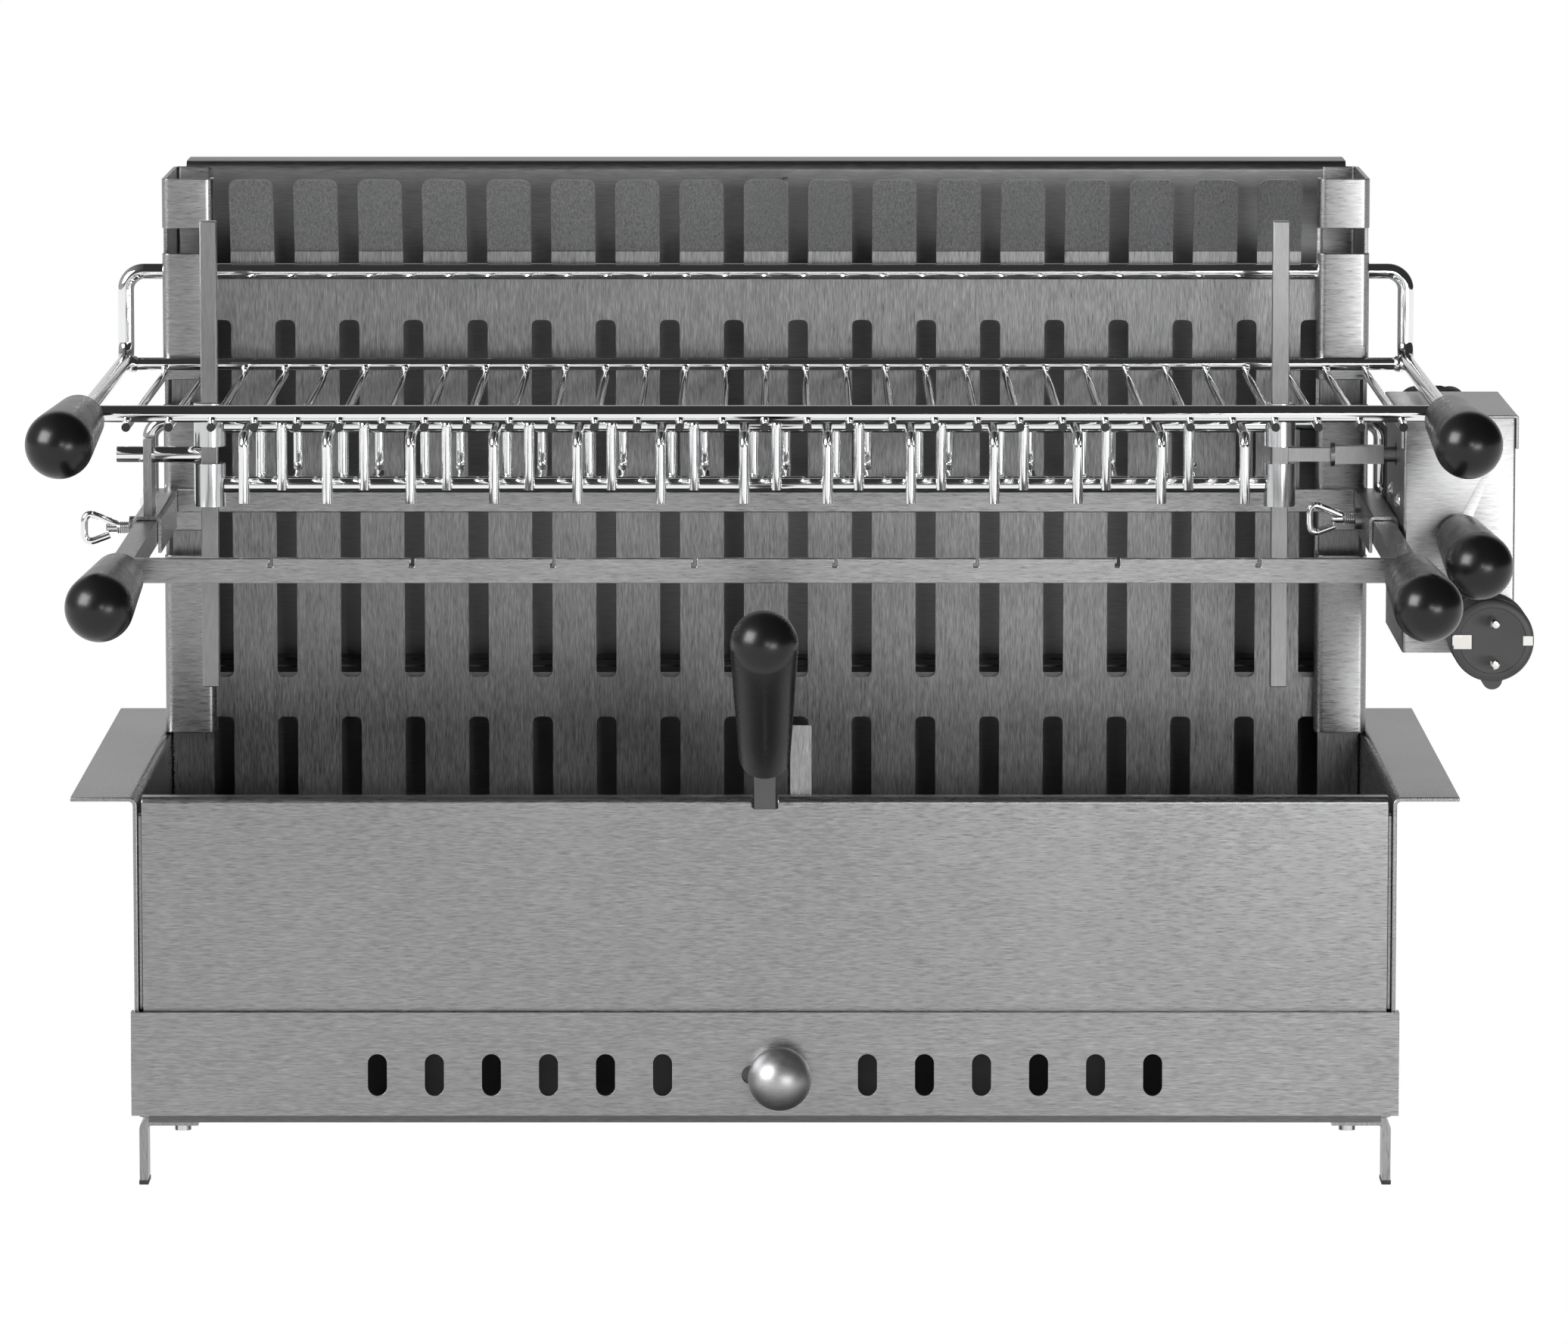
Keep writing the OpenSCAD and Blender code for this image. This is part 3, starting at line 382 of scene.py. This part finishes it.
def make_lead():
    lead_in = [(0, 185, 264.5), (0, 190, 265), (0, 196, 267), (0, 202, 271), (0, 207, 276.5),
               (0, 210.5, 283.5), (0, 212, 291), (-1.5, 211.8, 299), (-5.5, 211, 307),
               (-10.5, 209.5, 315.5), (-15.5, 208, 323),
               (-19.5, 207, 331), (-WIND_R, WIND_BACK_Y, WIND_Z1)]
    run = [(21, 179.6, 268), (21, 177, 257.5), (21, 171, 249), (21, 162, 243.3), (21, 153, RUN_Z),
           (21, 140, RUN_Z), (20, 125, RUN_Z), (18, 108, RUN_Z), (16, 92, RUN_Z), (14.4, 78, RUN_Z),
           (14, 66, RUN_Z)]
    path = [at(WIND_X + x, y, z) for x, y, z in lead_in]
    out = [at(WIND_X + x, y, z) for x, y, z in run]
    turns = winding()
    line = eased(path)[:-1] + [path[-1]] + turns + eased([turns[-1], *out])[1:]
    lead = wire("mains_lead", line, LEAD_D, "lead", "motor",
                replaces=("lead_run", "lead_winding"))
    length = sum((b - a).length for a, b in zip(line, line[1:]))


make_lead()


# ---------------------------------------------------------------- grips

GRIP_LEN = 128.5
GRIP_R = 15.5
GRIP_BACK_R = 12
TRAY_GRIP_TILT = 34.5


def grip(name, back, direction, body, node):
    """A tapered grip with a domed end, from the middle of its back end along a direction."""
    dome = GRIP_LEN - GRIP_R
    outline = [(0, 1.2), (5.2, 1.2), (5.6, 0.2), *arc(GRIP_BACK_R - 1.5, 1.7, 1.5, -90, 0, 4),
               (13, 34), (14.1, 68), (15.1, 98), *arc(0, dome, GRIP_R, 0, 90, 14)]
    bm = bmesh.new()
    turned(bm, outline, back, direction, steps=64)
    return piece(name, bm, "grip", body, replaces=(node,))


def make_grips():
    grill_low, grill_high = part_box("grill_grips")
    rack_low, rack_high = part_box("rack_grips")
    motor_low, motor_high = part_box("motor_grip")
    forward = Vector((0, -1, 0))
    for low, high, label, body in ((grill_low, grill_high, "grill", "grill"),
                                   (rack_low, rack_high, "rack", "casing")):
        height = (low.z + high.z) / 2
        for side, x in (("left", low.x + GRIP_R * MM), ("right", high.x - GRIP_R * MM)):
            grip(f"{label}_grip_{side}", Vector((x, high.y, height)), forward, body, label + "_grips")
    middle = (motor_low + motor_high) / 2
    grip("motor_side_grip", Vector((middle.x, motor_high.y, middle.z)), forward, "motor", "motor_grip")
    tilt = math.radians(TRAY_GRIP_TILT)
    upward = Vector((0, -math.cos(tilt), math.sin(tilt)))
    grip("tray_lift_grip", at(0, -81, 216), upward, "tray", "tray_grip")


make_grips()


# ---------------------------------------------------------------- folded sheet and sawn bar

def softened(node, body, finish, width, bends=()):
    """A CAD node's own shape with its edges rounded, and its bends rounded more.

    Each bend is (test, width), where the test takes an edge's middle in millimetres.
    """
    bm = bmesh.new()
    bm.from_mesh(NODES[node].data)
    bmesh.ops.remove_doubles(bm, verts=bm.verts, dist=0.00001)
    bmesh.ops.dissolve_limit(bm, angle_limit=math.radians(1), verts=bm.verts, edges=bm.edges)
    for test, bend_width in bends:
        edges = [e for e in bm.edges
                 if is_sharp(e) and test(*from_frame((e.verts[0].co + e.verts[1].co) / 2))]
        bmesh.ops.bevel(bm, geom=edges, offset=bend_width * MM, offset_type="OFFSET", affect="EDGES",
                        segments=6, profile=0.5, material=-1, clamp_overlap=True)
    made = piece(node + "_folded", bm, finish, body, replaces=(node,))
    bevel = made.modifiers.new("edges", "BEVEL")
    bevel.width = width * MM
    bevel.segments = 3
    bevel.limit_method = "ANGLE"
    bevel.angle_limit = math.radians(40)
    bevel.miter_outer = "MITER_ARC"
    return made


def is_sharp(edge):
    return len(edge.link_faces) == 2 and edge.calc_face_angle(0) > math.radians(40)


def from_frame(place):
    """The millimetres from the middle of the front panel that a point in the frame lies at."""
    return (place.x - MIDDLE_X) / MM, (place.y - FRONT_Y) / MM, place.z / MM


LID_LOW, LID_HIGH = (Vector(from_frame(corner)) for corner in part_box("motor_lid"))
CASE_LOW, CASE_HIGH = (Vector(from_frame(corner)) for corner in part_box("motor_housing"))
HOUSING_FACE_Y = 45     # the housing's front face


def near(value, target):
    return abs(value - target) < 0.3


def on_lid_bend(x, y, z):
    return near(z, LID_HIGH.z) and (near(x, LID_HIGH.x) or near(x, LID_LOW.x) or near(y, LID_HIGH.y))


def on_case_bend(x, y, z):
    return near(y, HOUSING_FACE_Y) and (near(x, CASE_LOW.x) or near(x, CASE_HIGH.x))


def fold_sheet():
    for node in ("left_post", "right_post"):
        softened(node, "casing", "sheet_across", 0.35)
    for node, finish in (("front_panel", "sheet_across"), ("left_side_wall", "sheet_deep"),
                         ("right_side_wall", "sheet_deep")):
        softened(node, "casing", finish, 0.45)
    softened("drawer_front", "drawer", "sheet_across", 0.45)
    for node in ("rack_front_bar", "rack_rear_bar"):
        softened(node, "casing", "sheet_across", 0.4)
    softened("rack_arms", "casing", "sheet_deep", 0.6)
    softened("spit_bars", "spit", "bar", 0.45)
    softened("left_clamp", "left_rest", "sheet_deep", 0.3)
    softened("right_clamp", "motor", "sheet_deep", 0.3)
    softened("motor_lid", "motor", "sheet_across", 0.3, bends=[(on_lid_bend, 1.3)])
    softened("motor_housing", "motor", "sheet_across", 0.3, bends=[(on_case_bend, 1.4)])


fold_sheet()


# ---------------------------------------------------------------- bent wire, welds and small parts

def make_thumbscrew(side, screw_node, body):
    """A threaded stem with a rounded triangle of wire, both wire ends laid against the stem."""
    low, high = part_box(screw_node)
    tip, start = high.x, low.x
    middle = (low + high) / 2
    bm = bmesh.new()
    stem = [(0, 0.2), (2.2, 0.2), (2.95, 0.9)]
    for i in range(9):
        stem += [(2.95, 1.2 + i), (2.55, 1.7 + i)]
    stem += [(2.95, 10.4), (2.2, 10.8), (2.2, 15.5), (1.6, 16.1), (0, 16.1)]
    turned(bm, stem, Vector((tip, middle.y, middle.z)), (-1, 0, 0), steps=32)
    piece(side + "_screw_stem", bm, "collar", body, replaces=(screw_node,))
    far_x = start + 1.75 * MM
    corners = [Vector((tip - 11 * MM, 0, 1.6 * MM)), Vector((far_x, 0, 8.1 * MM)),
               Vector((far_x, 0, -8.1 * MM)), Vector((tip - 14.5 * MM, 0, -3.6 * MM))]
    path = rounded_path(corners, 4.2 * MM)
    wire(side + "_screw_wing", [Vector((v.x, middle.y, middle.z + v.z)) for v in path], 3.5, "rod", body)


def rounded_path(corners, radius, count=8):
    """A line through corners with each inner corner turned into an arc."""
    path = [corners[0]]
    for a, b, c in zip(corners, corners[1:], corners[2:]):
        into, out = (a - b).normalized(), (c - b).normalized()
        half = into.angle(out) / 2
        run = min(radius / math.tan(half), (a - b).length * 0.45, (c - b).length * 0.45)
        start, end = b + into * run, b + out * run
        for i in range(count + 1):
            t = i / count
            path.append(start * (1 - t) ** 2 + b * 2 * t * (1 - t) + end * t ** 2)
    return path + [corners[-1]]


GRILL_WIRES = 31
WIRE_R = 2
KNOB_R = 15
KNOB_FLAT = 10.5        # from the ball's middle to the flat behind it


def bead(bm, place, radius, squash=0.7):
    """A small weld bead, flattened towards the ground."""
    made = bmesh.ops.create_icosphere(bm, subdivisions=2, radius=radius)
    bmesh.ops.scale(bm, vec=(1, 1, squash), verts=made["verts"])
    bmesh.ops.translate(bm, vec=place, verts=made["verts"])


def make_welds():
    """Beads where the grill's wires and side rods meet its rods, and near-black discs on the wires' ends as a
    painted dark reflection.
    """
    wires_low, wires_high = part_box("grill_wires")
    front_low, front_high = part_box("grill_front_rod")
    back_low, back_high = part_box("grill_back_rod")
    bm = bmesh.new()
    pitch = (wires_high.x - wires_low.x - 2 * WIRE_R * MM) / (GRILL_WIRES - 1)
    places = [wires_low.x + WIRE_R * MM + i * pitch for i in range(GRILL_WIRES)]
    for x in places:
        bead(bm, Vector((x, (front_low.y + front_high.y) / 2 - 2.0 * MM, front_low.z + 0.3 * MM)), 1.5 * MM)
        bead(bm, Vector((x, back_low.y + 0.8 * MM, back_low.z + 0.5 * MM)), 1.7 * MM)
    for rod_low, rod_high in ((front_low, front_high), (back_low, back_high)):
        for x in (rod_low.x, rod_high.x):
            middle = Vector((x, (rod_low.y + rod_high.y) / 2, (rod_low.z + rod_high.z) / 2))
            bead(bm, middle, 4.4 * MM, squash=1)
    piece("grill_welds", bm, "rod", "grill")
    # painted dark reflection: a near-black disc over each wire's front end
    ends = bmesh.new()
    for x in places:
        turned(ends, [(0, 0), (1.9, 0), (2.05, 0.15), (2.05, 0.9), (0, 0.9)],
               Vector((x, wires_low.y - 0.2 * MM, (wires_low.z + wires_high.z) / 2)), (0, 1, 0), steps=24)
    piece("wire_ends_painted_dark", ends, "painted_dark_end", "grill")


# Near-black blocks at the bottom of each foot, as a painted dark reflection along the rounded foot bottoms.
def make_painted_dark_foot_bottoms():
    low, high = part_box("feet")
    bm = bmesh.new()
    for x in (low.x + 2 * MM, high.x - 2 * MM):
        for y in (low.y + 7.5 * MM, high.y - 7.5 * MM):
            made = bmesh.ops.create_cube(bm, size=1)
            bmesh.ops.scale(bm, vec=(4.6 * MM, 15.6 * MM, 2.2 * MM), verts=made["verts"])
            bmesh.ops.translate(bm, vec=(x, y, 1.1 * MM), verts=made["verts"])
    bmesh.ops.bevel(bm, geom=bm.edges[:], offset=0.4 * MM, affect="EDGES", segments=2, profile=0.5,
                    material=-1)
    piece("foot_bottoms_painted_dark", bm, "painted_dark_foot_bottom", "casing")


def make_knob():
    low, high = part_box("damper_knob")
    middle = Vector(((low.x + high.x) / 2, low.y + KNOB_R * MM, (low.z + high.z) / 2))
    stem_end = (middle.y - high.y) / MM
    flat = math.degrees(math.asin(KNOB_FLAT / KNOB_R))
    outline = arc(0, 0, KNOB_R, 90, -flat + 2, 22)
    outline += [(outline[-1][0] - 0.6, -KNOB_FLAT), (4, -KNOB_FLAT), (4, stem_end), (0, stem_end)]
    bm = bmesh.new()
    turned(bm, outline, middle, (0, -1, 0), steps=64)
    piece("damper_knob_turned", bm, "knob", "damper", replaces=("damper_knob",))


def make_plug():
    """An earthed plug: chamfered face, earth clips at its sides, ribbed waist and strain relief."""
    low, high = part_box("plug_body")
    radius = (high.x - low.x) / 2 / MM
    face_y = low.y
    middle = Vector(((low.x + high.x) / 2, face_y, high.z - radius * MM))
    bm = bmesh.new()
    outline = [(0, 0.4), (radius - 4.2, 0.4), (radius - 4, 0), (radius - 2, 0), (radius - 0.6, 0.6),
               (radius - 0.1, 1.8)]
    for i in range(7):
        outline += [(radius - 0.1, 5.5 + i * 3), (radius - 0.8, 6.1 + i * 3), (radius - 0.8, 7.3 + i * 3),
                    (radius - 0.1, 7.9 + i * 3)]
    outline += [(radius - 0.1, 30.5), *arc(radius - 5, 31, 4.9, 0, 90, 5), (0, 35.9)]
    turned(bm, outline, middle, (0, 1, 0), steps=72)
    relief = [(0, 0), (4.8, 0)]
    for i in range(6):
        thick = 4.8 - i * 0.18
        relief += [(thick, 34 + i * 4.6), (thick, 37 + i * 4.6), (thick - 0.9, 37.4 + i * 4.6),
                   (thick - 0.9, 38.4 + i * 4.6)]
    relief += [(3.6, 64), (0, 64)]
    turned(bm, relief, Vector((middle.x, face_y + 1 * MM, RUN_Z * MM)), (0, 1, 0), steps=32)
    piece("plug_moulding", bm, "plug", "motor", replaces=("plug_body",))
    pins = bmesh.new()
    for s in (-1, 1):
        pin = [(0, -15.9), (1.5, -15.7), (2.2, -14.9), (2.4, -13.8), (2.4, 0.6)]
        turned(pins, pin + [(0, 0.6)], middle + Vector((0, 0, s * 9.5 * MM)), (0, 1, 0), steps=24)
    for s in (-1, 1):
        made = bmesh.ops.create_cube(pins, size=1)
        bmesh.ops.scale(pins, vec=(4.6 * MM, 20 * MM, 4.4 * MM), verts=made["verts"])
        bmesh.ops.translate(pins, vec=middle + Vector((s * (radius - 3.1) * MM, 9.6 * MM, 0)),
                            verts=made["verts"])
    made = bmesh.ops.create_cube(pins, size=1)
    bmesh.ops.scale(pins, vec=(8.4 * MM, 1.2 * MM, 6.6 * MM), verts=made["verts"])
    bmesh.ops.translate(pins, vec=middle + Vector(((5.6 - radius) * MM, 0.3 * MM, -0.6 * MM)),
                        verts=made["verts"])
    piece("plug_pins", pins, "nickel", "motor", replaces=("plug_contacts",))


make_thumbscrew("left", "left_thumbscrew", "left_screw")
make_thumbscrew("right", "right_thumbscrew", "right_screw")
make_welds()
make_painted_dark_foot_bottoms()
make_knob()
make_plug()


# ---------------------------------------------------------------- light and ground

def make_ground():
    """A white ground for the eye; what the metal mirrors is dimmer, with a painted shadow that is dark below
    the object.
    """
    bm = bmesh.new()
    bmesh.ops.create_grid(bm, x_segments=2, y_segments=2, size=40)
    mesh = bpy.data.meshes.new("ground")
    bm.to_mesh(mesh)
    bm.free()
    paint = Paint(bpy.data.materials.new("pale_ground"))
    spot = paint.node("ShaderNodeTexCoord", output="Object")
    away = paint.node("ShaderNodeVectorMath", {"operation": "LENGTH"}, {0: paint.node(
        "ShaderNodeMapping", inputs={"Vector": spot, "Scale": (1, 1.6, 1)})}, output=1)
    # painted shadow: the glow that the metal mirrors falls to near dark over the object's footprint
    level = paint.node("ShaderNodeMapRange", {"interpolation_type": "SMOOTHSTEP"}, {
        "Value": away, "From Min": 0.1, "From Max": 0.36, "To Min": 0.05, "To Max": 1.0})
    seen = paint.node("ShaderNodeEmission", inputs={"Color": (1, 1, 1, 1), "Strength": 1.0})
    mirrored_with_painted_shadow = paint.node("ShaderNodeEmission", inputs={"Color": (1, 1, 1, 1), "Strength": level})
    to_eye = paint.node("ShaderNodeLightPath", output="Is Camera Ray")
    shade = paint.node("ShaderNodeMixShader", inputs={0: to_eye, 1: mirrored_with_painted_shadow, 2: seen})
    paint.node("ShaderNodeOutputMaterial", inputs={"Surface": shade})
    mesh.materials.append(paint.owner)
    ground = bpy.data.objects.new("ground", mesh)
    bpy.context.scene.collection.objects.link(ground)


def softbox(name, place, target, width, height, power):
    light = bpy.data.lights.new(name, "AREA")
    light.shape = "RECTANGLE"
    light.size = width
    light.size_y = height
    light.energy = power
    holder = bpy.data.objects.new(name, light)
    holder.location = place
    aim = Vector(target) - Vector(place)
    holder.rotation_euler = aim.to_track_quat("-Z", "Y").to_euler()
    bpy.context.scene.collection.objects.link(holder)


def make_light():
    """A dark ceiling, a white backdrop behind the object and softboxes at its sides."""
    world = bpy.data.worlds.new("studio")
    bpy.context.scene.world = world
    paint = Paint(world)
    ways = paint.node("ShaderNodeTexCoord", output="Generated")
    dot = {"operation": "DOT_PRODUCT"}
    back = paint.node("ShaderNodeVectorMath", dot, {0: ways, 1: (0, 1, 0)}, output=1)
    side = paint.node("ShaderNodeVectorMath", dot, {0: ways, 1: (-1, 0, 0)}, output=1)
    behind = paint.node("ShaderNodeMapRange", inputs={
        "Value": back, "From Min": 0.72, "From Max": 0.86, "To Min": 0.0, "To Max": 0.6})
    beside = paint.node("ShaderNodeMapRange", inputs={
        "Value": side, "From Min": 0.1, "From Max": 0.9, "To Min": 0.0, "To Max": 0.35})
    around = behind + beside + 0.035
    to_eye = paint.node("ShaderNodeLightPath", output="Is Camera Ray")
    level = paint.node("ShaderNodeMix", {"data_type": "FLOAT"}, {0: to_eye, 2: around, 3: 1.0})
    shade = paint.node("ShaderNodeBackground", inputs={"Color": (1, 1, 1, 1), "Strength": level})
    paint.node("ShaderNodeOutputWorld", inputs={"Surface": shade})
    softbox("left_box", (-3.3, -2.4, 2.3), (0, 0, 0.3), 2.6, 2.4, 260)
    softbox("camera_box", (0.9, -5.2, 0.9), (0.1, 0, 0.3), 0.8, 0.6, 26)
    softbox("low_right_box", (1.5, -2.7, 0.3), (0.2, 0, 0.3), 1.1, 0.6, 22)


make_ground()
make_light()
bpy.context.scene.view_settings.view_transform = "Standard"
